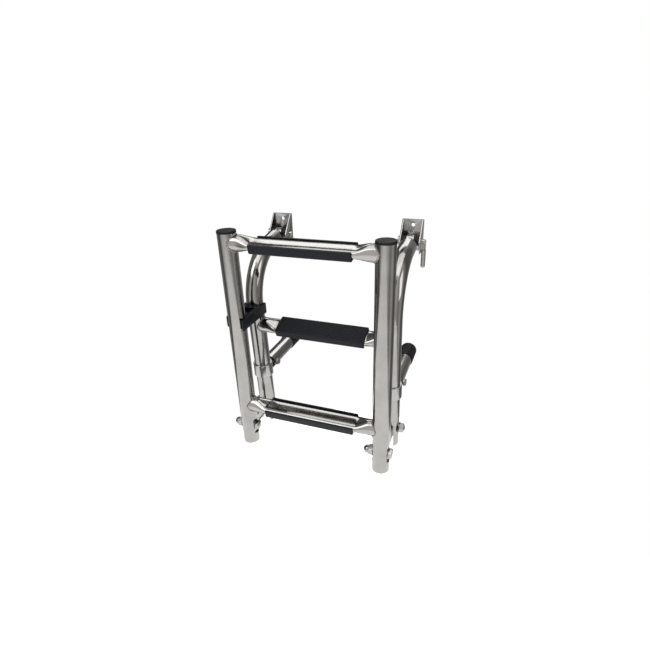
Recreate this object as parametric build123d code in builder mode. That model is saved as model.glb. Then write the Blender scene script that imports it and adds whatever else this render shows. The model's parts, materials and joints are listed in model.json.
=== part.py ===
from build123d import *
from math import cos, hypot, radians, sin
import os

# Folding boat boarding ladder, stored pose, millimetres.
# Origin: centre of the four transom bolt holes, on the brackets' back faces.
# +Y points into the transom, +Z is up, +X is the right side seen from the water.

# Driving dimensions ----------------------------------------------------------
RAIL_X = 133.5                # side tube axes stand at plus and minus this
SIDES = {"left": -RAIL_X, "right": RAIL_X}
TUBE_R = 16.0                 # side tubes, 32 mm outside
WALL = 1.5
BORE_R = TUBE_R - WALL

FRONT_Y = -216.0              # axis of the lower section's tubes
BOTTOM_Z = -380.0
FRONT_TOP_Z = 41.5
PIN = (-21.5, -6.0)           # ladder hinge pin (Y, Z)
CORNER = (-153.7, -29.3)      # where the two straight runs of a rear tube would meet
BEND_R = 96.0
LEAN = 0.05                   # rear tube: forward travel per unit of height
TUBE_END = 29.0               # from hinge pin to the end of the rear tube

PIVOT_Z = -342.5              # both fold pivots
PIVOT_R = 5.0                 # M10 pivot bolts
LINK_W = 16.0
LINK_H = 20.0
RUN_GAP = 0.3                 # gap between pieces that pass each other
RUN_FIT = 0.05                # radial clearance on pivots

RUNG_R = 14.3
FLAT_W = 35.0                 # flattened middle of a rung
FLAT_T = 14.0
FLAT_HALF = 86.6              # half length of the flattened stretch
ROUND_X = 112.0               # from here outward the rung is round
TOP_RUNG_Z = 25.0
BOTTOM_RUNG_Z = -293.0
FRONT_TILT = 9.0              # tread tilt of the folded lower section, degrees
MIDDLE_RUNG_Z = -154.0
MIDDLE_TILT = 20.0

PAD_L = 172.0
PAD_W = 40.0
PAD_H = 16.0
PAD_WALL = 2.5

CLAMP_Z = -256.0              # stand-off axis
CLAMP_R = 19.0
CLAMP_H = 28.0
STAND_BOLT_Y = -111.0
STAND_BOLT_R = 4.0
STAND_R = 15.0                # stand-off tubes
STAND_MOUTH = 7.0             # tube mouth in front of its bolt
STAND_END_Y = 17.0
FOOT_R = 16.8
FOOT_Y = -26.0                # mouth of the rubber foot
FOOT_SOLE = 5.0

PLATE_W = 40.0
PLATE_H = 59.0
PLATE_T = 3.0
BOLT_SPACING_Z = 38.0
BOLT_HOLE_R = 3.5
PIN_R = 4.0

CLIP_Z = (-130.0, -110.0)
CLIP_HALF = 19.5


def rear_axis_y(z):
    """Y of a rear tube's axis on its straight, leaning run."""
    return CORNER[1] * LEAN + CORNER[0] - z * LEAN


RUN_LENGTH = hypot(PIN[0] - CORNER[0], PIN[1] - CORNER[1])
END_RUN = ((PIN[0] - CORNER[0]) / RUN_LENGTH, (PIN[1] - CORNER[1]) / RUN_LENGTH)
REAR_PIVOT_Y = rear_axis_y(PIVOT_Z)

os.makedirs("parts", exist_ok=True)
nodes = {}


def save(piece, label):
    """Label a finished piece and write its STEP file."""
    piece.label = label
    nodes[label] = piece
    export_step(piece, f"parts/{label}.step")


def leaning_plane(x, z):
    """Plane across a rear tube's axis at height z."""
    return Plane(origin=(x, rear_axis_y(z), z), x_dir=(1, 0, 0), z_dir=(0, -LEAN, 1))


def eye_plane(x):
    """Plane at the hinge pin whose normal runs from the pin into the tube."""
    return Plane(origin=(x, *PIN), x_dir=(1, 0, 0), z_dir=(0, -END_RUN[0], -END_RUN[1]))


def rung_plane(y, z, tilt):
    """Plane across a rung: local x runs rearward along the tread, local y is its upward normal."""
    across = (0, cos(radians(tilt)), sin(radians(tilt)))
    return Plane(origin=(0, y, z), x_dir=across, z_dir=(1, 0, 0))


def side_plane(x):
    """YZ plane at x, with local axes Y and Z and a +X normal."""
    return Plane.YZ.offset(x)


def turned_stack(plane, steps):
    """Cylinders and cones along a plane's normal: each step is start, end, start radius, end radius."""
    for start, end, r_start, r_end in steps:
        with Locations(plane.offset((start + end) / 2).location):
            if r_start == r_end:
                Cylinder(r_start, end - start)
            else:
                Cone(r_start, r_end, end - start)


# Transom brackets ------------------------------------------------------------
FLANGE = [(0, 29.5), (-7, 29.5), (-35, -6), (-35, -19), (-26, -29.5), (0, -29.5)]

for side, x in SIDES.items():
    with BuildPart() as bracket:
        with BuildSketch(side_plane(x - PLATE_W / 2)) as flange_sketch:
            with BuildLine():
                Polyline(*FLANGE, close=True)
            make_face()
            front_corners = flange_sketch.vertices().group_by(Axis.Y)[0:3]
            fillet([v for group in front_corners for v in group], 3.0)
        extrude(amount=PLATE_W)
        with Locations((x, -PLATE_T - 50, 0)):
            Box(PLATE_W - 2 * PLATE_T, 100, 2 * PLATE_H, mode=Mode.SUBTRACT)
        back_edges = bracket.edges().filter_by(Axis.Z).sort_by(Axis.Y)[-2:]
        fillet(back_edges, 2.0)
        with Locations((x, PIN[0], PIN[1])):
            Cylinder(PIN_R, 2 * PLATE_W, rotation=(0, 90, 0), mode=Mode.SUBTRACT)
        with Locations((x, 0, BOLT_SPACING_Z / 2), (x, 0, -BOLT_SPACING_Z / 2)):
            Cylinder(BOLT_HOLE_R, 4 * PLATE_T, rotation=(90, 0, 0), mode=Mode.SUBTRACT)
    save(bracket.part, f"bracket_{side}")

# Release pins with a drop nose at the +X end ----------------------------------
NOSE_X = 24.8                 # nose pivot, from the bracket's middle
NOSE_R = 4.2
NOSE_SLOT = 2.8
NOSE_TONGUE = 2.4
NOSE_TOP = 16.0               # the round nose starts this far below its pivot
NOSE_LENGTH = 50.0
RIVET_R = 1.2

for side, x in SIDES.items():
    with BuildPart() as release_pin:
        pin_plane = Plane(origin=(x, *PIN), x_dir=(0, 1, 0), z_dir=(1, 0, 0))
        half = PLATE_W / 2
        turned_stack(pin_plane, [(-half, NOSE_X, PIN_R, PIN_R), (-half - 3.5, -half, 8.0, 8.0)])
        with Locations((x + NOSE_X, *PIN)):
            Sphere(PIN_R)
        with Locations((x + NOSE_X + 0.7, *PIN)):
            Box(9.0, NOSE_SLOT, 4 * PIN_R, mode=Mode.SUBTRACT)
        with Locations((x + NOSE_X, *PIN)):
            Cylinder(RIVET_R, 4 * PIN_R, rotation=(90, 0, 0), mode=Mode.SUBTRACT)
        head_rim = release_pin.edges().filter_by(GeomType.CIRCLE).sort_by(Axis.X)[0]
        fillet(head_rim, 1.0)
    save(release_pin.part, f"release_pin_{side}")

    with BuildPart() as nose:
        with BuildSketch(Plane.XZ.offset(-PIN[0] - NOSE_TONGUE / 2)):
            with Locations((x + NOSE_X, PIN[1] - (NOSE_TOP + 4) / 2)):
                SlotCenterToCenter(NOSE_TOP + 4, 7.0, rotation=90)
        extrude(amount=NOSE_TONGUE)
        round_length = NOSE_LENGTH - NOSE_TOP - NOSE_R
        with Locations((x + NOSE_X, PIN[0], PIN[1] - NOSE_TOP - round_length / 2)):
            Cylinder(NOSE_R, round_length)
        with Locations((x + NOSE_X, PIN[0], PIN[1] - NOSE_LENGTH + NOSE_R)):
            Sphere(NOSE_R)
        with Locations((x + NOSE_X, *PIN)):
            Cylinder(RIVET_R + RUN_FIT, 4 * PIN_R, rotation=(90, 0, 0), mode=Mode.SUBTRACT)
    save(nose.part, f"nose_{side}")

with BuildPart() as nose_rivets:
    with Locations(*[(x + NOSE_X, *PIN) for x in SIDES.values()]):
        Cylinder(RIVET_R, 1.9 * PIN_R, rotation=(90, 0, 0))
save(nose_rivets.part, "nose_rivets")

# Rear tubes: leaning run, one large bend, then a short run up to the eye end ---
SLOT_HALF = LINK_W / 2 + RUN_GAP
SLOT_TOP = LINK_H / 2 + 1.5

for side, x in SIDES.items():
    tube_end = (PIN[0] - TUBE_END * END_RUN[0], PIN[1] - TUBE_END * END_RUN[1])
    with BuildPart() as rear_tube:
        with BuildLine(side_plane(x)) as tube_path:
            FilletPolyline((rear_axis_y(BOTTOM_Z), BOTTOM_Z), CORNER, tube_end, radius=BEND_R)
        with BuildSketch(leaning_plane(x, BOTTOM_Z)):
            Circle(TUBE_R)
            Circle(BORE_R, mode=Mode.SUBTRACT)
        sweep(path=tube_path.line)
        pivot_plane = leaning_plane(x, PIVOT_Z)
        slot_height = PIVOT_Z - BOTTOM_Z + SLOT_TOP + 10
        with Locations(pivot_plane.offset(SLOT_TOP - slot_height / 2).location):
            Box(2 * SLOT_HALF, TUBE_R + 4, slot_height, align=(Align.CENTER, Align.MAX, Align.CENTER),
                mode=Mode.SUBTRACT)
        with Locations((x, REAR_PIVOT_Y, PIVOT_Z)):
            Cylinder(PIVOT_R, 3 * TUBE_R, rotation=(0, 90, 0), mode=Mode.SUBTRACT)
    save(rear_tube.part, f"rear_tube_{side}")

# Eye ends: spigot, collar, tapered neck and a flat tongue around the hinge pin --
EYE_R = 10.5
EYE_W = 13.0
BUSH_R = 6.0

for side, x in SIDES.items():
    plane = eye_plane(x)
    with BuildPart() as eye_end:
        turned_stack(plane, [(TUBE_END, TUBE_END + 16, BORE_R, BORE_R), (TUBE_END - 4, TUBE_END, TUBE_R, TUBE_R)])
        with Locations(plane.offset(TUBE_END - 8.5).location):
            Cone(8.5, 14.0, 9.0)
        with Locations(plane.offset(10).location):
            Cylinder(8.5, 14.0)
        with Locations(plane.location):
            Cylinder(EYE_R, EYE_W, rotation=(0, 90, 0))
        with Locations(plane.offset(4).location):
            for shift in (-1, 1):
                with Locations((shift * (EYE_W / 2 + 10), 0, 0)):
                    Box(20, 40, 24, mode=Mode.SUBTRACT)
        with Locations((x, *PIN)):
            Cylinder(BUSH_R, 2 * EYE_W, rotation=(0, 90, 0), mode=Mode.SUBTRACT)
    save(eye_end.part, f"eye_end_{side}")

# Flanged plastic bushes that centre each eye between its bracket's flanges -----
BUSH_HALF = PLATE_W / 2 - PLATE_T - RUN_GAP
with BuildPart() as eye_bushes:
    for x in SIDES.values():
        bush_plane = Plane(origin=(x, *PIN), x_dir=(0, 1, 0), z_dir=(1, 0, 0))
        turned_stack(bush_plane, [(-BUSH_HALF, -EYE_W / 2, 9.0, 9.0), (-EYE_W / 2, EYE_W / 2, BUSH_R, BUSH_R),
                                  (EYE_W / 2, BUSH_HALF, 9.0, 9.0)])
    with Locations((0, *PIN)):
        Cylinder(PIN_R + RUN_FIT, 4 * RAIL_X, rotation=(0, 90, 0), mode=Mode.SUBTRACT)
save(eye_bushes.part, "eye_bushes")


# Rungs and their treads ---------------------------------------------------------
def rung_shell(plane, shrink, mode):
    """A round tube flattened in the middle; shrink is taken off every surface."""
    with BuildSketch(plane) as flat:
        SlotOverall(FLAT_W - 2 * shrink, FLAT_T - 2 * shrink)
    extrude(flat.sketch, amount=FLAT_HALF, both=True, mode=mode)
    for end in (-1, 1):
        with BuildSketch(plane.offset(end * FLAT_HALF)) as flat_end:
            SlotOverall(FLAT_W - 2 * shrink, FLAT_T - 2 * shrink)
        with BuildSketch(plane.offset(end * ROUND_X)) as round_end:
            SlotOverall(2 * (RUNG_R - shrink) + 0.1, 2 * (RUNG_R - shrink) - 0.1)
        loft([flat_end.sketch.face(), round_end.sketch.face()], mode=mode)
        extrude(round_end.sketch, amount=end * (RAIL_X - ROUND_X), mode=mode)


def tread(plane, up):
    """A channel pad pressed over the flat of a rung; up is 1 above the rung or -1 below it."""
    outer = FLAT_T / 2 + PAD_WALL
    edge = outer - PAD_H
    inner_half = PAD_W / 2 - PAD_WALL
    with BuildSketch(plane.offset(-PAD_L / 2)) as channel:
        with Locations((0, up * (outer + edge) / 2)):
            RectangleRounded(PAD_W, PAD_H, 1.2)
        with Locations((0, up * (outer - PAD_WALL + edge + 1.4) / 2)):
            Rectangle(2 * inner_half, PAD_H - PAD_WALL - 1.4, mode=Mode.SUBTRACT)
        with Locations((0, up * edge)):
            Rectangle(2 * inner_half - 2.4, 4.0, mode=Mode.SUBTRACT)
        with GridLocations(5.0, 1, 7, 1):
            with Locations((0, up * outer)):
                Rectangle(1.4, 1.2, mode=Mode.SUBTRACT)
    extrude(channel.sketch, amount=PAD_L)


rungs = {
    "top": (FRONT_Y, TOP_RUNG_Z, FRONT_TILT, -1),
    "bottom": (FRONT_Y, BOTTOM_RUNG_Z, FRONT_TILT, -1),
    "middle": (rear_axis_y(MIDDLE_RUNG_Z), MIDDLE_RUNG_Z, MIDDLE_TILT, 1),
}

for name, (y, z, tilt, up) in rungs.items():
    plane = rung_plane(y, z, tilt)
    with BuildPart() as rung:
        rung_shell(plane, 0, Mode.ADD)
        rung_shell(plane, WALL, Mode.SUBTRACT)
        for x in SIDES.values():
            across = leaning_plane(x, z) if name == "middle" else Plane(origin=(x, y, z))
            with Locations(across.location):
                Cylinder(TUBE_R, 6 * RUNG_R, mode=Mode.SUBTRACT)
    save(rung.part, f"{name}_rung")

    with BuildPart() as pad:
        tread(plane, up)
    save(pad.part, f"{name}_tread")

# Stand-offs: a clamp on each rear tube, a tube on its bolt and a rubber foot ------
LUG_W = 12.0
LUG_R = 10.5
NECK_H = 14.0
COLLAR_R = 12.4
COLLAR_END_Y = -123.0         # leaves room for the tube's mouth at full tilt

for side, x in SIDES.items():
    clamp_plane = leaning_plane(x, CLAMP_Z)
    with BuildPart() as clamp:
        with Locations(clamp_plane.location):
            Cylinder(CLAMP_R, CLAMP_H)
        fillet(clamp.edges().filter_by(GeomType.CIRCLE), 1.5)
        collar_length = COLLAR_END_Y - rear_axis_y(CLAMP_Z)
        with Locations((x, COLLAR_END_Y - collar_length / 2, CLAMP_Z)):
            Cylinder(COLLAR_R, collar_length, rotation=(90, 0, 0))
        with BuildSketch(side_plane(x - LUG_W / 2)):
            with Locations((STAND_BOLT_Y, CLAMP_Z)):
                Circle(LUG_R)
            with Locations(((STAND_BOLT_Y + rear_axis_y(CLAMP_Z)) / 2, CLAMP_Z)):
                Rectangle(STAND_BOLT_Y - rear_axis_y(CLAMP_Z), NECK_H)
        extrude(amount=LUG_W)
        with Locations(clamp_plane.location):
            Cylinder(TUBE_R, 3 * CLAMP_H, mode=Mode.SUBTRACT)
        with Locations((x, STAND_BOLT_Y, CLAMP_Z)):
            Cylinder(STAND_BOLT_R, 2 * LUG_W, rotation=(0, 90, 0), mode=Mode.SUBTRACT)
    save(clamp.part, f"standoff_clamp_{side}")

    with BuildPart() as standoff_tube:
        with BuildSketch(Plane(origin=(x, STAND_BOLT_Y - STAND_MOUTH, CLAMP_Z), x_dir=(1, 0, 0), z_dir=(0, 1, 0))):
            Circle(STAND_R)
            Circle(STAND_R - WALL, mode=Mode.SUBTRACT)
        extrude(amount=STAND_END_Y - STAND_BOLT_Y + STAND_MOUTH)
        with Locations((x, STAND_BOLT_Y, CLAMP_Z)):
            Cylinder(STAND_BOLT_R + RUN_FIT, 4 * STAND_R, rotation=(0, 90, 0), mode=Mode.SUBTRACT)
    save(standoff_tube.part, f"standoff_tube_{side}")

    with BuildPart() as foot:
        foot_plane = Plane(origin=(x, FOOT_Y, CLAMP_Z), x_dir=(1, 0, 0), z_dir=(0, 1, 0))
        foot_length = STAND_END_Y + FOOT_SOLE - FOOT_Y
        with Locations(foot_plane.offset(foot_length / 2).location):
            Cylinder(FOOT_R, foot_length)
        fillet(foot.edges().filter_by(GeomType.CIRCLE).sort_by(Axis.Y)[-1], 3.0)
        fillet(foot.edges().filter_by(GeomType.CIRCLE).sort_by(Axis.Y)[0], 0.8)
        with Locations(foot_plane.offset((STAND_END_Y - FOOT_Y) / 2).location):
            Cylinder(STAND_R, STAND_END_Y - FOOT_Y, mode=Mode.SUBTRACT)
    save(foot.part, f"standoff_foot_{side}")


# Fasteners ------------------------------------------------------------------------
def hex_prism(y, z, start, height, flats):
    """A hexagon along X from x = start."""
    with BuildSketch(side_plane(start)) as hexagon:
        with Locations((y, z)):
            RegularPolygon(flats / 2, 6, major_radius=False)
    extrude(hexagon.sketch, amount=height)


def disc(y, z, start, end, radius):
    """A disc or shank along X between two x values."""
    with Locations(((start + end) / 2, y, z)):
        Cylinder(radius, end - start, rotation=(0, 90, 0))


def dome(y, z, start, height, radius):
    """The rounded crown of an acorn nut that points to -X from x = start."""
    disc(y, z, start - height + radius, start, radius)
    with Locations((start - height + radius, y, z)):
        Sphere(radius)


PIVOT_HEX = 17.0
HEAD_T = 6.4
NUT_T = 8.0
WASHER_R = 10.5
WASHER_T = 1.5
FLAT_X = 13.0                 # pressed flats of the front tubes, from the tube axis
ACORN_R = 7.6
ACORN_CROWN = 9.5

with BuildPart() as lower_pivot_bolts:
    for x in SIDES.values():
        disc(FRONT_Y, PIVOT_Z, x - FLAT_X - WASHER_T - NUT_T, x + FLAT_X + WASHER_T, PIVOT_R)
        hex_prism(FRONT_Y, PIVOT_Z, x + FLAT_X + WASHER_T, HEAD_T, PIVOT_HEX)
save(lower_pivot_bolts.part, "lower_pivot_bolts")

with BuildPart() as lower_pivot_washers:
    for x in SIDES.values():
        disc(FRONT_Y, PIVOT_Z, x + FLAT_X, x + FLAT_X + WASHER_T, WASHER_R)
        disc(FRONT_Y, PIVOT_Z, x - FLAT_X - WASHER_T, x - FLAT_X, WASHER_R)
    with Locations((0, FRONT_Y, PIVOT_Z)):
        Cylinder(PIVOT_R, 4 * RAIL_X, rotation=(0, 90, 0), mode=Mode.SUBTRACT)
save(lower_pivot_washers.part, "lower_pivot_washers")

with BuildPart() as lower_acorn_nuts:
    for x in SIDES.values():
        seat = x - FLAT_X - WASHER_T
        hex_prism(FRONT_Y, PIVOT_Z, seat - NUT_T, NUT_T, PIVOT_HEX)
        dome(FRONT_Y, PIVOT_Z, seat - NUT_T, ACORN_CROWN, ACORN_R)
        with Locations((seat - NUT_T / 2, FRONT_Y, PIVOT_Z)):
            Cylinder(PIVOT_R, NUT_T, rotation=(0, 90, 0), mode=Mode.SUBTRACT)
save(lower_acorn_nuts.part, "lower_acorn_nuts")

with BuildPart() as upper_pivot_bolts:
    for x in SIDES.values():
        disc(REAR_PIVOT_Y, PIVOT_Z, x - TUBE_R - WASHER_T, x + TUBE_R + WASHER_T + NUT_T + 2, PIVOT_R)
        hex_prism(REAR_PIVOT_Y, PIVOT_Z, x - TUBE_R - WASHER_T - HEAD_T, HEAD_T, PIVOT_HEX)
save(upper_pivot_bolts.part, "upper_pivot_bolts")

with BuildPart() as upper_pivot_washers:
    for x in SIDES.values():
        disc(REAR_PIVOT_Y, PIVOT_Z, x + TUBE_R, x + TUBE_R + WASHER_T, WASHER_R)
        disc(REAR_PIVOT_Y, PIVOT_Z, x - TUBE_R - WASHER_T, x - TUBE_R, WASHER_R)
    with Locations((0, REAR_PIVOT_Y, PIVOT_Z)):
        Cylinder(PIVOT_R, 4 * RAIL_X, rotation=(0, 90, 0), mode=Mode.SUBTRACT)
save(upper_pivot_washers.part, "upper_pivot_washers")

with BuildPart() as upper_pivot_nuts:
    for x in SIDES.values():
        hex_prism(REAR_PIVOT_Y, PIVOT_Z, x + TUBE_R + WASHER_T, NUT_T, PIVOT_HEX)
    with Locations((0, REAR_PIVOT_Y, PIVOT_Z)):
        Cylinder(PIVOT_R, 4 * RAIL_X, rotation=(0, 90, 0), mode=Mode.SUBTRACT)
save(upper_pivot_nuts.part, "upper_pivot_nuts")

STAND_HEX = 13.0
STAND_SEAT = STAND_R + RUN_GAP
with BuildPart() as standoff_bolts:
    for x in SIDES.values():
        disc(STAND_BOLT_Y, CLAMP_Z, x - STAND_SEAT - 6.5, x + STAND_SEAT, STAND_BOLT_R)
        hex_prism(STAND_BOLT_Y, CLAMP_Z, x + STAND_SEAT, 5.3, STAND_HEX)
save(standoff_bolts.part, "standoff_bolts")

with BuildPart() as standoff_nuts:
    for x in SIDES.values():
        hex_prism(STAND_BOLT_Y, CLAMP_Z, x - STAND_SEAT - 6.5, 6.5, STAND_HEX)
        dome(STAND_BOLT_Y, CLAMP_Z, x - STAND_SEAT - 6.5, 7.5, 5.8)
        with Locations((x - STAND_SEAT - 3.25, STAND_BOLT_Y, CLAMP_Z)):
            Cylinder(STAND_BOLT_R, 6.5, rotation=(0, 90, 0), mode=Mode.SUBTRACT)
save(standoff_nuts.part, "standoff_nuts")

# Hinge links: a bar inside each pair of slotted tube ends -----------------------------
LINK_BUSH_R = 7.0

for side, x in SIDES.items():
    with BuildPart() as hinge_link:
        with BuildSketch(side_plane(x - LINK_W / 2)):
            with Locations(((FRONT_Y + REAR_PIVOT_Y) / 2, PIVOT_Z)):
                SlotCenterToCenter(REAR_PIVOT_Y - FRONT_Y, LINK_H)
            with Locations((FRONT_Y, PIVOT_Z), (REAR_PIVOT_Y, PIVOT_Z)):
                Circle(LINK_BUSH_R, mode=Mode.SUBTRACT)
        extrude(amount=LINK_W)
    save(hinge_link.part, f"hinge_link_{side}")

with BuildPart() as link_bushes:
    for x in SIDES.values():
        with BuildSketch(side_plane(x - LINK_W / 2)):
            with Locations((FRONT_Y, PIVOT_Z), (REAR_PIVOT_Y, PIVOT_Z)):
                Circle(LINK_BUSH_R)
                Circle(PIVOT_R + RUN_FIT, mode=Mode.SUBTRACT)
        extrude(amount=LINK_W)
save(link_bushes.part, "link_bushes")

# Front tubes: straight, slotted behind at the foot, with pressed flats at the pivot ----
FLAT_H = 36.0
for side, x in SIDES.items():
    with BuildPart() as front_tube:
        with BuildSketch(Plane(origin=(x, FRONT_Y, BOTTOM_Z))):
            Circle(TUBE_R)
            Circle(BORE_R, mode=Mode.SUBTRACT)
        extrude(amount=FRONT_TOP_Z - BOTTOM_Z)
        with BuildSketch(Plane(origin=(x, FRONT_Y, PIVOT_Z - FLAT_H / 2))):
            Circle(TUBE_R)
            Rectangle(2 * (FLAT_X - WALL), 3 * TUBE_R, mode=Mode.SUBTRACT)
        extrude(amount=FLAT_H)
        for shift in (-1, 1):
            with BuildSketch(side_plane(x + shift * (FLAT_X + 5))):
                with Locations((FRONT_Y, PIVOT_Z)):
                    SlotOverall(FLAT_H, 24.0, rotation=90)
            extrude(amount=5, both=True, mode=Mode.SUBTRACT)
        slot_height = PIVOT_Z - BOTTOM_Z + SLOT_TOP + 10
        with Locations((x, FRONT_Y, PIVOT_Z + SLOT_TOP - slot_height / 2)):
            Box(2 * SLOT_HALF, TUBE_R + 4, slot_height, align=(Align.CENTER, Align.MIN, Align.CENTER),
                mode=Mode.SUBTRACT)
        with Locations((x, FRONT_Y, PIVOT_Z)):
            Cylinder(PIVOT_R, 3 * TUBE_R, rotation=(0, 90, 0), mode=Mode.SUBTRACT)
    save(front_tube.part, f"front_tube_{side}")

CAP_R = 16.4
CAP_T = 4.0
with BuildPart() as tube_caps:
    for x in SIDES.values():
        turned_stack(Plane(origin=(x, FRONT_Y, FRONT_TOP_Z)), [(0, CAP_T, CAP_R, CAP_R), (-12, 0, BORE_R, BORE_R)])
    fillet(tube_caps.edges().filter_by(GeomType.CIRCLE).group_by(Axis.Z)[-1], 1.2)
save(tube_caps.part, "tube_caps")

# Storage clip: gripped on the left rear tube, open towards -Y for the front tube --------
CLIP_MID = rear_axis_y(sum(CLIP_Z) / 2)
with BuildPart() as tube_clip:
    x = SIDES["left"]
    height = CLIP_Z[1] - CLIP_Z[0]
    outline = [(-CLIP_HALF, -220), (-CLIP_HALF, CLIP_MID + 7), (CLIP_HALF, CLIP_MID + 7), (CLIP_HALF, -230),
               (TUBE_R + RUN_GAP, -230), (TUBE_R + RUN_GAP, FRONT_Y), (-TUBE_R - RUN_GAP, FRONT_Y),
               (-TUBE_R - RUN_GAP, -220)]
    with BuildSketch(Plane(origin=(x, 0, CLIP_Z[0]))):
        with BuildLine():
            Polyline(*outline, close=True)
        make_face()
        with Locations((0, FRONT_Y)):
            Circle(TUBE_R + RUN_GAP, mode=Mode.SUBTRACT)
    extrude(amount=height)
    fillet(tube_clip.edges().filter_by(Axis.Z).group_by(Axis.Y)[0], 1.2)
    with Locations(leaning_plane(x, sum(CLIP_Z) / 2).location):
        Cylinder(TUBE_R + 0.02, 3 * height, mode=Mode.SUBTRACT)
        Box(2 * TUBE_R - 4, TUBE_R + 20, 3 * height, align=(Align.CENTER, Align.MIN, Align.CENTER),
            mode=Mode.SUBTRACT)
    with Locations((x, (FRONT_Y + CLIP_MID) / 2, CLIP_Z[1])):
        Box(22, 22, 24, mode=Mode.SUBTRACT)
    clip_rims = tube_clip.faces().sort_by(Axis.Z)[-1].edges()
    fillet(clip_rims.filter_by(GeomType.LINE), 0.8)
save(tube_clip.part, "tube_clip")

for label, piece in nodes.items():
    print(f"{label:24s} {len(piece.solids()):2d} solids {piece.volume:10.0f} mm3")
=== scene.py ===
import json
from math import cos, pi, radians, sin, sqrt

import bmesh
import bpy
from mathutils import Matrix, Vector


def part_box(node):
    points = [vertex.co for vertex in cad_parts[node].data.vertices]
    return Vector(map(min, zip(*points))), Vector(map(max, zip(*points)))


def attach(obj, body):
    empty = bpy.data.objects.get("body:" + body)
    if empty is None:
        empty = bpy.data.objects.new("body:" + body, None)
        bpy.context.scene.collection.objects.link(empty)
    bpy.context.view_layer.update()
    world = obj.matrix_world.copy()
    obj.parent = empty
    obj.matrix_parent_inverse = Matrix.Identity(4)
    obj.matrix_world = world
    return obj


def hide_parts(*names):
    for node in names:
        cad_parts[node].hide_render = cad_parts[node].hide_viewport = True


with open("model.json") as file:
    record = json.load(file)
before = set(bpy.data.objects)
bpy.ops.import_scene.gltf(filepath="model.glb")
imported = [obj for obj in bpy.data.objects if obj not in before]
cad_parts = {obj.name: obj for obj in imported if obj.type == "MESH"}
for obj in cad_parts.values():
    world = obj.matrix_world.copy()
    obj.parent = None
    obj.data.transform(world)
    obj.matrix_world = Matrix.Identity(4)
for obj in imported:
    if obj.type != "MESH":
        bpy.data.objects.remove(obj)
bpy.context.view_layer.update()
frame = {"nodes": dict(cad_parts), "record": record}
JOINTS = {joint["name"]: joint for joint in frame["record"]["behaviour"]["joints"]}
MM = 0.001

# Places read from the frame -----------------------------------------------------------
BRACKET_TO_AXIS = 20 * MM      # from a bracket's inner face to its side tube's axis
RAIL_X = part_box("bracket_right")[0][0] + BRACKET_TO_AXIS
SIDES = {"left": -RAIL_X, "right": RAIL_X}
FRONT_Y = JOINTS["frame_fold"]["pos_m"][1]
PIVOT_Z = JOINTS["frame_fold"]["pos_m"][2]
REAR_PIVOT_Y = JOINTS["link_swing"]["pos_m"][1]
STAND_BOLT = Vector(JOINTS["standoff_tilt_right"]["pos_m"])

# Sizes shared by several pieces -------------------------------------------------------
TUBE_R = 16 * MM
RUNG_R = 14.3 * MM
ROUND_POINTS = 72              # points round a turned or moulded part
FLOOR_Z = -0.80                # the opened-out lower section would reach about as low

# Each rung's body, tilt in degrees, side its tread faces, and lean of the side tubes
RUNGS = {
    "top": ("lower_frame", 9.0, -1, 0),
    "bottom": ("lower_frame", 9.0, -1, 0),
    "middle": ("upper_frame", 20.0, 1, 0.05),
}

# Fasteners: across flats, head, nut, shank radius, and an acorn nut's crown
M10 = dict(flats=17 * MM, head=6.4 * MM, nut=8 * MM, shank=5 * MM, crown=9.5 * MM, crown_r=7.6 * MM)
M8 = dict(flats=13 * MM, head=5.3 * MM, nut=6.5 * MM, shank=4 * MM, crown=7.5 * MM, crown_r=5.8 * MM)
FASTENER_GROUPS = {
    "lower_bolts": ("lower_frame", "lower_pivot_bolts"),
    "lower_acorns": ("lower_frame", "lower_acorn_nuts"),
    "upper_bolts": ("upper_frame", "upper_pivot_bolts"),
    "upper_nuts": ("upper_frame", "upper_pivot_nuts"),
    "stand_bolts": ("upper_frame", "standoff_bolts"),
    "stand_acorns": ("upper_frame", "standoff_nuts"),
}

# Each softbox's place, what it points at, its size in metres and its power in watts
LIGHTS = {
    "key_softbox": ((-1.3, -1.6, 1.9), (0, -0.1, -0.15), (1.4, 1.4), 17),
    "right_softbox": ((2.0, -0.7, 0.9), (0, -0.1, -0.15), (0.9, 1.6), 9),
    "top_softbox": ((0, -0.15, 2.2), (0, -0.12, -0.38), (2.2, 2.2), 24),
    "back_softbox": ((-0.5, 2.0, 1.6), (0, -0.1, -0.1), (2.0, 0.8), 11),
}

# Brightness of the surroundings by azimuth, as shares of a full turn
HORIZON_BANDS = [
    (0.0, 0.35), (0.05, 0.1), (0.1, 0.2), (0.16, 0.9), (0.25, 0.95), (0.33, 0.8), (0.42, 0.35),
    (0.5, 0.7), (0.57, 0.16), (0.66, 0.2), (0.72, 0.5), (0.8, 0.1), (0.9, 0.14), (1.0, 0.35),
]


def middle(node):
    """Centre of a CAD node's box."""
    low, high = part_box(node)
    return (Vector(low) + Vector(high)) / 2


def both(*names):
    """The left and right nodes of each name."""
    return [f"{name}_{side}" for name in names for side in SIDES]


# Shader helpers -----------------------------------------------------------------------
def new_material(name):
    """A node material, with its tree and its Principled shader."""
    material = bpy.data.materials.new(name)
    material.use_nodes = True
    tree = material.node_tree
    return material, tree, tree.nodes["Principled BSDF"]


def add_node(tree, kind, **inputs):
    """A node with inputs set by keyword: from_min is the input called From Min."""
    node = tree.nodes.new(kind)
    for key, value in inputs.items():
        node.inputs[key.replace("_", " ").title()].default_value = value
    return node


def object_coords(tree, stretch=(1, 1, 1)):
    """Object coordinates in metres, scaled per axis."""
    coords = tree.nodes.new("ShaderNodeTexCoord")
    mapping = add_node(tree, "ShaderNodeMapping", scale=stretch)
    tree.links.new(coords.outputs["Object"], mapping.inputs["Vector"])
    return mapping.outputs["Vector"]


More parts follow.
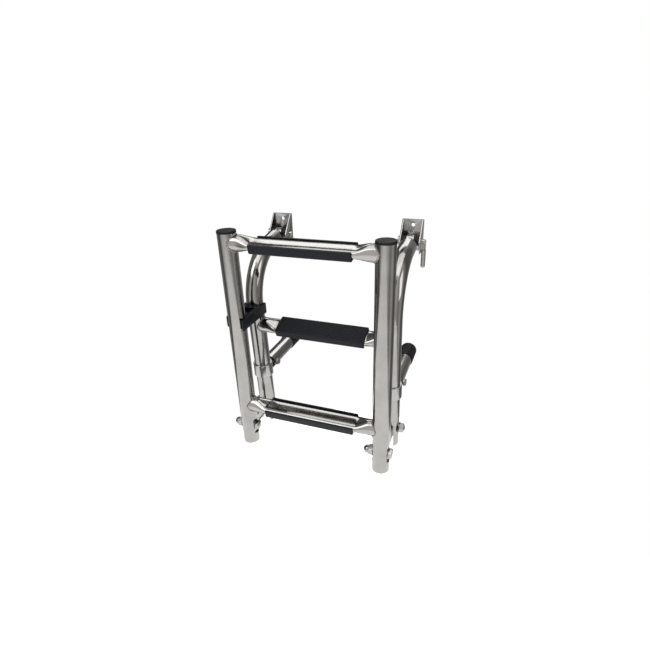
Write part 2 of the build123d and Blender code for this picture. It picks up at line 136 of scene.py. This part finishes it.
def noise(tree, scale, detail, roughness=0.55, stretch=(1, 1, 1)):
    """Noise through the solid, mostly between 0.3 and 0.7."""
    node = add_node(tree, "ShaderNodeTexNoise", scale=scale, detail=detail, roughness=roughness)
    tree.links.new(object_coords(tree, stretch), node.inputs["Vector"])
    return node.outputs["Fac"]


def spread(tree, value, low, high, from_low=0.3, from_high=0.7):
    """Map a noise value to the range low to high."""
    node = add_node(tree, "ShaderNodeMapRange", from_min=from_low, from_max=from_high,
                    to_min=low, to_max=high)
    tree.links.new(value, node.inputs["Value"])
    return node.outputs["Result"]


def colour_ramp(tree, value, stops):
    """Colours blended between (place, colour) stops."""
    ramp = tree.nodes.new("ShaderNodeValToRGB")
    elements = ramp.color_ramp.elements
    while len(elements) < len(stops):
        elements.new(0.5)
    for element, (place, colour) in zip(elements, stops):
        element.position = place
        element.color = (*colour, 1)
    tree.links.new(value, ramp.inputs["Fac"])
    return ramp.outputs["Color"]


def bump(tree, shader, height, distance, strength, below=None):
    """Relief on the shader, laid over the relief below if there is one."""
    node = add_node(tree, "ShaderNodeBump", strength=strength, distance=distance)
    tree.links.new(height, node.inputs["Height"])
    if below is not None:
        tree.links.new(below, node.inputs["Normal"])
    tree.links.new(node.outputs["Normal"], shader.inputs["Normal"])
    return node.outputs["Normal"]


# Materials ----------------------------------------------------------------------------
def steel(name, stretch, tint, rough, grain):
    """Polished stainless: fine polishing lines, drifting roughness, faint handling smudges."""
    material, tree, shader = new_material(name)
    shader.inputs["Metallic"].default_value = 1.0
    lines = noise(tree, scale=900.0, detail=3.0, stretch=stretch)
    smudges = noise(tree, scale=26.0, detail=5.0, roughness=0.62)
    scuffs = noise(tree, scale=210.0, detail=6.0, roughness=0.7)
    smudged = tuple(0.84 * c for c in tint)
    tree.links.new(colour_ramp(tree, smudges, [(0.32, smudged), (0.66, tint)]), shader.inputs["Base Color"])
    wear = tree.nodes.new("ShaderNodeMath")
    wear.operation = "ADD"
    tree.links.new(spread(tree, smudges, low=0.75 * rough, high=1.5 * rough), wear.inputs[0])
    tree.links.new(spread(tree, scuffs, low=-0.01, high=0.05, from_low=0.5, from_high=0.8), wear.inputs[1])
    tree.links.new(wear.outputs[0], shader.inputs["Roughness"])
    waves = bump(tree, shader, noise(tree, scale=18.0, detail=2.0), distance=0.0006, strength=0.12)
    bump(tree, shader, lines, distance=0.00002, strength=grain, below=waves)
    return material


def plastic(name, colour, rough, grain_scale, grain_depth):
    """Moulded black plastic or rubber with a spark-eroded grain and slightly rubbed patches."""
    material, tree, shader = new_material(name)
    patches = noise(tree, scale=34.0, detail=5.0, roughness=0.6)
    grain = noise(tree, scale=grain_scale, detail=4.0, roughness=0.6)
    rubbed = tuple(1.5 * c + 0.0015 for c in colour)
    tree.links.new(colour_ramp(tree, patches, [(0.35, colour), (0.72, rubbed)]), shader.inputs["Base Color"])
    tree.links.new(spread(tree, patches, low=0.85 * rough, high=1.2 * rough), shader.inputs["Roughness"])
    shader.inputs["Specular IOR Level"].default_value = 0.22
    bump(tree, shader, grain, distance=grain_depth, strength=0.35)
    return material


def weld_metal():
    """Weld bead: bright ripple crests with straw and blue heat tint."""
    material, tree, shader = new_material("weld_bead")
    shader.inputs["Metallic"].default_value = 1.0
    tint = noise(tree, scale=120.0, detail=3.0)
    dull, straw, blue = (0.27, 0.255, 0.235), (0.36, 0.335, 0.3), (0.27, 0.28, 0.3)
    colour = colour_ramp(tree, tint, [(0.3, dull), (0.5, straw), (0.7, blue)])
    tree.links.new(colour, shader.inputs["Base Color"])
    tree.links.new(spread(tree, tint, low=0.2, high=0.36), shader.inputs["Roughness"])
    bump(tree, shader, noise(tree, scale=1600.0, detail=4.0), distance=0.0001, strength=0.4)
    return material


def bronze():
    """Mottled bearing bronze for the bushes inside the hinge links."""
    material, tree, shader = new_material("bush_bronze")
    shader.inputs["Metallic"].default_value = 1.0
    grain = noise(tree, scale=300.0, detail=4.0)
    dark, light = (0.48, 0.31, 0.15), (0.66, 0.46, 0.24)
    tree.links.new(colour_ramp(tree, grain, [(0.3, dark), (0.7, light)]), shader.inputs["Base Color"])
    tree.links.new(spread(tree, grain, low=0.28, high=0.42), shader.inputs["Roughness"])
    return material


def floor_material():
    """Pale matt floor that also glows a little, so that it fades into the white behind it."""
    material, tree, shader = new_material("studio_floor")
    cloud = noise(tree, scale=1.4, detail=3.0)
    grey, white = (0.93, 0.93, 0.93), (0.96, 0.96, 0.957)
    tree.links.new(colour_ramp(tree, cloud, [(0.3, grey), (0.7, white)]), shader.inputs["Base Color"])
    shader.inputs["Roughness"].default_value = 0.85
    shader.inputs["Emission Color"].default_value = (1, 1, 1, 1)
    shader.inputs["Emission Strength"].default_value = 0.62
    return material


DRAWN = 0.06                   # polishing lines are stretched along a tube by this scale
PALE_STEEL = (0.4, 0.395, 0.385)
MATERIALS = {
    "upright": steel("polished_tube_upright", (1.0, 1.0, DRAWN), (0.36, 0.352, 0.338), 0.12, 0.5),
    "crosswise": steel("polished_tube_crosswise", (DRAWN, 1.0, 1.0), (0.39, 0.382, 0.366), 0.12, 0.5),
    "lengthwise": steel("polished_tube_lengthwise", (1.0, DRAWN, 1.0), (0.40, 0.392, 0.378), 0.13, 0.5),
    "cast": steel("polished_casting", (1.0, 1.0, 1.0), PALE_STEEL, 0.18, 0.6),
    "fastener": steel("turned_fastener", (0.1, 1.0, 1.0), PALE_STEEL, 0.19, 0.7),
    "tread": plastic("tread_plastic", (0.0024, 0.0031, 0.0062), 0.46, 1500.0, 0.0002),
    "cap": plastic("cap_plastic", (0.005, 0.0038, 0.0046), 0.46, 1700.0, 0.0002),
    "rubber": plastic("foot_rubber", (0.003, 0.0034, 0.0056), 0.52, 1100.0, 0.0003),
    "weld": weld_metal(),
    "bronze": bronze(),
}

NODE_FINISH = {
    "upright": both("rear_tube", "front_tube"),
    "crosswise": ["top_rung", "bottom_rung", "middle_rung"],
    "lengthwise": both("standoff_tube"),
    "cast": both("bracket", "eye_end", "hinge_link", "standoff_clamp", "nose"),
    "fastener": both("release_pin") + [
        "nose_rivets", "lower_pivot_bolts", "lower_pivot_washers", "lower_acorn_nuts",
        "upper_pivot_bolts", "upper_pivot_washers", "upper_pivot_nuts", "standoff_bolts", "standoff_nuts",
    ],
    "tread": ["top_tread", "middle_tread", "bottom_tread", "tube_clip"],
    "cap": ["tube_caps", "eye_bushes"],
    "rubber": both("standoff_foot"),
    "bronze": ["link_bushes"],
}


def finish_nodes():
    """Give every CAD node its procedural material."""
    for finish, names in NODE_FINISH.items():
        for name in names:
            piece = frame["nodes"][name]
            for holder in piece.material_slots:
                holder.material = MATERIALS[finish]


# Mesh helpers -------------------------------------------------------------------------
def make_piece(name, bm, finish, body, slot, *replaced):
    """Turn a bmesh into a smooth-shaded piece that rides on a body."""
    sharp_above = radians(32)
    bmesh.ops.recalc_face_normals(bm, faces=bm.faces)
    mesh = bpy.data.meshes.new(name)
    bm.to_mesh(mesh)
    bm.free()
    mesh.set_sharp_from_angle(angle=sharp_above)
    piece = bpy.data.objects.new(name, mesh)
    bpy.context.scene.collection.objects.link(piece)
    mesh.materials.append(MATERIALS[finish])
    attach(piece, body)
    if replaced:
        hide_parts(*replaced)


def skin(bm, rings, loops=False):
    """Faces between neighbouring rings, and from last to first if it loops; returns the vertex rings."""
    rows = [[bm.verts.new(point) for point in ring] for ring in rings]
    pairs = list(zip(rows, rows[1:]))
    if loops:
        pairs.append((rows[-1], rows[0]))
    for row, following in pairs:
        for i, vertex in enumerate(row):
            j = (i + 1) % len(row)
            bm.faces.new((vertex, row[j], following[j], following[i]))
    return rows


def capped_skin(bm, rings):
    """As skin, with a face over the first and the last ring."""
    rows = skin(bm, rings)
    bm.faces.new(rows[0][::-1])
    bm.faces.new(rows[-1])


def tube_face(y, z, lean):
    """Distance from the ladder's middle plane to a side tube's surface, y and z from a rung's axis."""
    return RAIL_X - sqrt(TUBE_R ** 2 - (y + lean * z) ** 2)


# Welds --------------------------------------------------------------------------------
def weld_bead(bm, centre, end, lean):
    """A rippled fillet bead where a round rung meets a side tube."""
    stations, section_points = 168, 10
    bead_r = 1.5 * MM
    inward_slope = 0.35
    across = Vector((end, 0, 0))
    rings = []
    for k in range(stations):
        angle = 2 * pi * k / stations
        depth = RUNG_R * cos(angle)
        height = RUNG_R * sin(angle)
        place = Vector((end * tube_face(depth, height, lean), centre.y + depth, centre.z + height))
        outward = Vector((-end * inward_slope, cos(angle), sin(angle))).normalized()
        ripple = 0.13 * sin(42 * angle)
        wander = 0.05 * sin(17 * angle + 1.0)
        radius = bead_r * (1.0 + ripple + wander)
        ring = []
        for i in range(section_points):
            turn = 2 * pi * i / section_points
            ring.append(place + (outward * cos(turn) + across * sin(turn)) * radius)
        rings.append(ring)
    skin(bm, rings, loops=True)


def add_welds():
    """Beads at both ends of the three rungs."""
    for rung, (body, _, _, lean) in RUNGS.items():
        bm = bmesh.new()
        for end in (-1, 1):
            weld_bead(bm, middle(f"{rung}_rung"), end, lean)
        make_piece(f"{rung}_rung_welds", bm, "weld", body, "polished_steel")


# Fasteners ----------------------------------------------------------------------------
def hex_radius(angle, flats):
    """Distance from a hexagon's centre to its edge at an angle."""
    step = pi / 3
    return flats / 2 / cos((angle + step / 2) % step - step / 2)


def turned_profile(bm, centre, direction, profile, flats=0.0):
    """Surface about an X axis from (distance, radius, is_hex) stations; hex stations follow the flats."""
    rings = []
    for distance, radius, is_hex in profile:
        ring = []
        for i in range(ROUND_POINTS):
            angle = 2 * pi * i / ROUND_POINTS
            r = min(radius, hex_radius(angle, flats)) if is_hex else radius
            ring.append(centre + Vector((direction * distance, r * cos(angle), r * sin(angle))))
        rings.append(ring)
    capped_skin(bm, rings)


def hex_stations(start, height, flats):
    """A hexagon with both rims turned down at about 30 degrees."""
    corner = flats / 2 / cos(pi / 6)
    rim = corner - flats / 2 + 0.4 * MM
    slope = 0.55
    parts = (0.0, 0.35, 0.7, 1.0)
    near = [(start + slope * rim * part, corner - rim * (1 - part), True) for part in parts]
    far = [(start + height - slope * rim * part, corner - rim * (1 - part), True) for part in parts]
    return near + far[::-1]


def dome_stations(start, height, radius):
    """The crown of an acorn nut; its last ring stops just short of the pole."""
    step = 0.5 * MM
    straight = height - radius
    rings, rings_to_pole = 8, 8.3
    stations = [(start, radius + step, False)]
    stations += [(start + step, radius, False), (start + straight, radius, False)]
    for k in range(1, rings + 1):
        turn = pi / 2 * k / rings_to_pole
        stations.append((start + straight + radius * sin(turn), radius * cos(turn), False))
    return stations


def thread_stations(start, length, radius, pitch):
    """A short stretch of thread with a chamfered tip."""
    per_pitch = 4
    valley = 0.45 * MM
    tip_length, tip_drop = 0.35 * MM, 0.9 * MM
    count = int(length / pitch * per_pitch)
    stations = []
    for k in range(count + 1):
        depth = valley if k % per_pitch in (2, 3) else 0.0
        stations.append((start + length * k / count, radius - depth, False))
    stations.append((start + length + tip_length, radius - tip_drop, False))
    return stations


def bolt_and_acorn(bolts, acorns, pivot, seat, size):
    """A bolt with its head to the right, and an acorn nut on its left end."""
    shank = [(-seat - size["nut"], size["shank"], False), (seat, size["shank"], False)]
    turned_profile(bolts, pivot, 1, shank + hex_stations(seat, size["head"], size["flats"]), size["flats"])
    crown = dome_stations(seat + size["nut"], size["crown"], size["crown_r"])
    turned_profile(acorns, pivot, -1, hex_stations(seat, size["nut"], size["flats"]) + crown, size["flats"])


def bolt_and_nut(bolts, nuts, pivot, seat, size):
    """A bolt with its head to the left, and a nut with a little thread showing past it."""
    thread, pitch = 1.6 * MM, 1.5 * MM
    shank = [(-seat, size["shank"], False), (seat, size["shank"], False)]
    stub = thread_stations(seat + size["nut"], thread, size["shank"], pitch)
    turned_profile(bolts, pivot, 1, shank + stub)
    turned_profile(bolts, pivot, -1, hex_stations(seat, size["head"], size["flats"]), size["flats"])
    turned_profile(nuts, pivot, 1, hex_stations(seat, size["nut"], size["flats"]), size["flats"])


def add_fasteners():
    """Chamfered hex heads, nuts and domed acorn nuts, one piece for each CAD group."""
    front_seat = 14.5 * MM     # from a tube's axis to the face that the head or nut bears on
    rear_seat = 17.5 * MM
    stand_seat = 15.3 * MM
    groups = {name: bmesh.new() for name in FASTENER_GROUPS}
    for x in SIDES.values():
        front = Vector((x, FRONT_Y, PIVOT_Z))
        rear = Vector((x, REAR_PIVOT_Y, PIVOT_Z))
        stand = Vector((x, STAND_BOLT.y, STAND_BOLT.z))
        bolt_and_acorn(groups["lower_bolts"], groups["lower_acorns"], front, front_seat, M10)
        bolt_and_nut(groups["upper_bolts"], groups["upper_nuts"], rear, rear_seat, M10)
        bolt_and_acorn(groups["stand_bolts"], groups["stand_acorns"], stand, stand_seat, M8)
    for group, (body, node) in FASTENER_GROUPS.items():
        make_piece(f"{group}_turned", groups[group], "fastener", body, "fastener_steel", node)


# Rungs --------------------------------------------------------------------------------
def signed_power(value, power):
    """A power that keeps the sign of its base."""
    return abs(value) ** power * (1 if value >= 0 else -1)


def rung_section(tilt, flat):
    """Outline of a rung as (y, z) from its axis: flat runs from 0, round, to 1, pressed to its oval."""
    points = 96
    pressed_half_width, pressed_half_height = 17.35 * MM, 6.95 * MM
    squareness = 0.3
    power = 1.0 - squareness * flat
    half_width = RUNG_R + (pressed_half_width - RUNG_R) * flat
    half_height = RUNG_R + (pressed_half_height - RUNG_R) * flat
    section = []
    for i in range(points):
        angle = 2 * pi * i / points
        u = half_width * signed_power(cos(angle), power)
        v = half_height * signed_power(sin(angle), power)
        section.append((u * cos(tilt) - v * sin(tilt), u * sin(tilt) + v * cos(tilt)))
    return section


def add_rungs():
    """Rungs pressed flat under the treads, easing back to round tube before the coped ends."""
    flat_step, flat_steps = 4 * MM, 21
    ease_start, ease_length, ease_steps = 85 * MM, 28 * MM, 14
    half = [(flat_step * k, 1.0) for k in range(1, flat_steps + 1)]
    for k in range(1, ease_steps + 1):
        part = k / ease_steps
        half.append((ease_start + ease_length * part, 1 - part * part * (3 - 2 * part)))
    stations = [(-x, flat) for x, flat in reversed(half)] + [(0, 1.0)] + half
    for name, (body, tilt, _, lean) in RUNGS.items():
        centre = middle(f"{name}_rung")
        turn = radians(tilt)
        rings = []
        for x, flat in stations:
            rings.append([Vector((x, centre.y + y, centre.z + z)) for y, z in rung_section(turn, flat)])
        left, right = [], []
        for y, z in rung_section(turn, 0):
            reach = tube_face(y, z, lean)
            left.append(Vector((-reach, centre.y + y, centre.z + z)))
            right.append(Vector((reach, centre.y + y, centre.z + z)))
        bm = bmesh.new()
        capped_skin(bm, [left] + rings + [right])
        make_piece(f"{name}_rung_pressed", bm, "crosswise", body, "polished_steel", f"{name}_rung")


# Treads -------------------------------------------------------------------------------
def quarter_arc(u, v, radius, start):
    """Points of a quarter circle about (u, v) from the angle start."""
    steps = 6
    turns = [start + pi / 2 * k / steps for k in range(steps + 1)]
    return [(u + radius * cos(turn), v + radius * sin(turn)) for turn in turns]


def grip_ribs(span, top):
    """The ribbed face between the shoulders, right to left."""
    samples, per_rib = 48, 6
    groove = 0.65 * MM
    points = []
    for k in range(1, samples):
        dip = groove if k % per_rib in (3, 4) else 0.0
        points.append((span - 2 * span * k / samples, top - dip))
    return points


def snap_lip(half, inner, low, ceiling):
    """The left wall from its outer foot, over the hook that snaps round the rung, up to the ceiling."""
    chamfer = 0.7 * MM
    hook_flat, hook_reach = 0.9 * MM, 1.3 * MM
    hook_rise, hook_top = 0.6 * MM, 1.6 * MM
    corner = 1.2 * MM
    return [
        (-half, low + chamfer), (-half + chamfer, low), (-inner + hook_flat, low),
        (-inner + hook_reach, low + hook_rise), (-inner, low + hook_top),
        (-inner, ceiling - corner), (-inner + corner, ceiling),
    ]


def tread_outline(shrink):
    """Closed channel outline in the tread's own plane: rounded shoulders, grip ribs and snap-on lips."""
    half_width, inner, height_above, height_below, wall = 20 * MM, 17.5 * MM, 9.5 * MM, 6.5 * MM, 2.5 * MM
    shoulder = 3.2 * MM
    half, top, low = half_width - shrink, height_above - shrink, shrink - height_below
    span = half - shoulder
    points = quarter_arc(span, top - shoulder, shoulder, 0)
    points += grip_ribs(span, top)
    points += quarter_arc(-span, top - shoulder, shoulder, pi / 2)
    lip = snap_lip(half, inner, low, height_above - wall)
    points += lip
    points += [(-u, v) for u, v in reversed(lip)]
    return points


def tread_stations():
    """Places along a tread with how far its outline shrinks there, to round the ends."""
    half_length, end_r = 86 * MM, 1.6 * MM
    end_steps, spans = 4, 12
    outline_share = 0.6
    rounded = []
    for k in range(end_steps + 1):
        turn = pi / 2 * k / end_steps
        rounded.append((-half_length + end_r * (1 - cos(turn)), outline_share * end_r * (1 - sin(turn))))
    between = [(-half_length + 2 * half_length * k / spans, 0.0) for k in range(1, spans)]
    return rounded + between + [(-x, shrink) for x, shrink in reversed(rounded)]


def add_treads():
    """Moulded channel treads with rounded ends; the lower section's face down while it is folded."""
    for name, (body, tilt, up, _) in RUNGS.items():
        centre = middle(f"{name}_rung")
        across = Vector((0, cos(radians(tilt)), sin(radians(tilt))))
        normal = Vector((0, -sin(radians(tilt)), cos(radians(tilt)))) * up
        rings = []
        for x, shrink in tread_stations():
            place = centre + Vector((x, 0, 0))
            rings.append([place + across * u + normal * v for u, v in tread_outline(shrink)])
        bm = bmesh.new()
        capped_skin(bm, rings)
        make_piece(f"{name}_tread_moulding", bm, "tread", body, "black_plastic", f"{name}_tread")


# Stand-off feet -----------------------------------------------------------------------
def foot_profile(mouth, sole, radius):
    """A foot's wall as (y, radius) from just inside its mouth to the middle of its sole."""
    bore, lead_in = 15.3 * MM, 0.35 * MM
    mouth_round = 1.2 * MM
    first_groove, groove_pitch, grooves = 9, 7, 4
    groove_depth = 0.7 * MM
    heel_r, heel_steps = 3.5 * MM, 8
    dish_r, dish_depth = 9 * MM, 0.8 * MM
    profile = [
        (mouth + mouth_round, bore - lead_in), (mouth, bore),
        (mouth, radius - 0.7 * MM), (mouth + 0.4 * MM, radius - 0.25 * MM),
        (mouth + mouth_round, radius), (mouth + 4 * MM, radius),
    ]
    for k in range(grooves):
        groove = mouth + (first_groove + groove_pitch * k) * MM
        profile += [
            (groove, radius), (groove + 0.5 * MM, radius - groove_depth),
            (groove + 1.3 * MM, radius - groove_depth), (groove + 1.8 * MM, radius),
        ]
    for k in range(heel_steps + 1):
        turn = pi / 2 * k / heel_steps
        profile.append((sole - heel_r * (1 - sin(turn)), radius - heel_r * (1 - cos(turn))))
    profile += [(sole, dish_r), (sole - dish_depth, dish_r - 1 * MM), (sole - dish_depth, 1 * MM)]
    return profile


def add_feet():
    """Rubber feet: rolled mouth, grip grooves and a dished sole."""
    low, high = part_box("standoff_foot_right")
    profile = foot_profile(low[1], high[1], (high[0] - low[0]) / 2)
    turns = [2 * pi * i / ROUND_POINTS for i in range(ROUND_POINTS)]
    for side, x in SIDES.items():
        rings = []
        for y, r in profile:
            rings.append([Vector((x + r * cos(turn), y, STAND_BOLT.z + r * sin(turn))) for turn in turns])
        bm = bmesh.new()
        rows = skin(bm, rings)
        bm.faces.new(rows[-1])
        node = f"standoff_foot_{side}"
        make_piece(f"{node}_rubber", bm, "rubber", f"standoff_{side}", "rubber", node)


# Rounded castings ---------------------------------------------------------------------
def soften(node, width, finish, body, slot, segments=2):
    """A copy of a sharp CAD node with its edges rounded, standing in for the node."""
    same_place, same_plane, sharp_above = 1e-6, radians(0.6), radians(34)
    source = frame["nodes"][node]
    bm = bmesh.new()
    bm.from_mesh(source.data)
    bmesh.ops.remove_doubles(bm, verts=bm.verts, dist=same_place)
    bmesh.ops.dissolve_limit(bm, angle_limit=same_plane, verts=bm.verts, edges=bm.edges)
    sharp = [e for e in bm.edges if len(e.link_faces) == 2 and e.calc_face_angle() > sharp_above]
    bmesh.ops.bevel(bm, geom=sharp, offset=width, offset_type="OFFSET", segments=segments, profile=0.5,
                    affect="EDGES", clamp_overlap=True)
    make_piece(f"{node}_soft", bm, finish, body, slot, node)


def add_soft_edges():
    """Rounded edges on the brackets, castings and the storage clip."""
    for side in SIDES:
        soften(f"bracket_{side}", 0.6 * MM, "cast", "brackets", "cast_steel")
        soften(f"hinge_link_{side}", 0.8 * MM, "cast", "hinge_links", "cast_steel")
        soften(f"standoff_clamp_{side}", 0.5 * MM, "cast", "upper_frame", "cast_steel")
    soften("tube_clip", 0.9 * MM, "tread", "upper_frame", "black_plastic", 3)


# Studio -------------------------------------------------------------------------------
def add_floor():
    """An oval floor, reaching further towards the camera's side than behind."""
    half_width, half_depth, centre_y = 1.25, 2.0, -1.5
    bm = bmesh.new()
    bmesh.ops.create_circle(bm, cap_ends=True, segments=96, radius=1.0)
    bmesh.ops.scale(bm, vec=(half_width, half_depth, 1.0), verts=bm.verts)
    mesh = bpy.data.meshes.new("studio_floor")
    bm.to_mesh(mesh)
    bm.free()
    floor = bpy.data.objects.new("studio_floor", mesh)
    floor.location = (0, centre_y, FLOOR_Z)
    mesh.materials.append(floor_material())
    bpy.context.scene.collection.objects.link(floor)


def add_light(name, place, target, size, power):
    """A rectangular softbox pointing at a target."""
    data = bpy.data.lights.new(name, "AREA")
    data.shape = "RECTANGLE"
    data.size, data.size_y = size
    data.energy = power
    lamp = bpy.data.objects.new(name, data)
    lamp.location = place
    lamp.rotation_euler = (Vector(target) - Vector(place)).to_track_quat("-Z", "Y").to_euler()
    bpy.context.scene.collection.objects.link(lamp)


def colour_socket(sockets, name):
    """The colour socket among a Mix node's sockets of one name."""
    return next(socket for socket in sockets if socket.name == name and socket.type == "RGBA")


def add_world():
    """Light and dark bands round the horizon for the tubes to reflect; the camera sees plain white."""
    warmth = Vector((1.0, 0.985, 0.965))
    world = bpy.data.worlds.new("studio")
    world.use_nodes = True
    bpy.context.scene.world = world
    tree = world.node_tree
    background = tree.nodes["Background"]
    coords = tree.nodes.new("ShaderNodeTexCoord")
    gradient = tree.nodes.new("ShaderNodeTexGradient")
    gradient.gradient_type = "RADIAL"
    tree.links.new(coords.outputs["Generated"], gradient.inputs["Vector"])
    stops = [(place, level * warmth) for place, level in HORIZON_BANDS]
    bands = colour_ramp(tree, gradient.outputs["Fac"], stops)
    path = tree.nodes.new("ShaderNodeLightPath")
    mix = tree.nodes.new("ShaderNodeMix")
    mix.data_type = "RGBA"
    colour_socket(mix.inputs, "B").default_value = (1, 1, 1, 1)
    tree.links.new(bands, colour_socket(mix.inputs, "A"))
    tree.links.new(path.outputs["Is Camera Ray"], mix.inputs["Factor"])
    tree.links.new(colour_socket(mix.outputs, "Result"), background.inputs["Color"])
    background.inputs["Strength"].default_value = 1.0


def add_camera():
    """Camera in front, to the right and above, slightly rolled."""
    place = Vector((0.2812, -0.847, 0.2183))
    azimuth, elevation, roll = radians(21.385), radians(25.396), radians(-2.028)
    right = Vector((cos(azimuth), sin(azimuth), 0))
    forward = Vector((-sin(azimuth) * cos(elevation), cos(azimuth) * cos(elevation), -sin(elevation)))
    up = right.cross(forward)
    rolled_right = right * cos(roll) + up * sin(roll)
    rolled_up = up * cos(roll) - right * sin(roll)
    data = bpy.data.cameras.new("studio_camera")
    data.lens = 25.18
    data.sensor_width = 36.0
    data.clip_start = 0.01
    camera = bpy.data.objects.new("studio_camera", data)
    turn = Matrix((rolled_right, rolled_up, -forward)).transposed()
    camera.matrix_world = Matrix.Translation(place) @ turn.to_4x4()
    bpy.context.scene.collection.objects.link(camera)
    bpy.context.scene.camera = camera


def build():
    """The ladder's pieces first, then the studio round them."""
    add_camera()
    finish_nodes()
    add_welds()
    add_fasteners()
    add_rungs()
    add_treads()
    add_feet()
    add_soft_edges()
    add_floor()
    add_world()
    for name, settings in LIGHTS.items():
        add_light(name, *settings)
    bpy.context.scene.view_settings.view_transform = "Standard"


build()
bpy.context.view_layer.update()
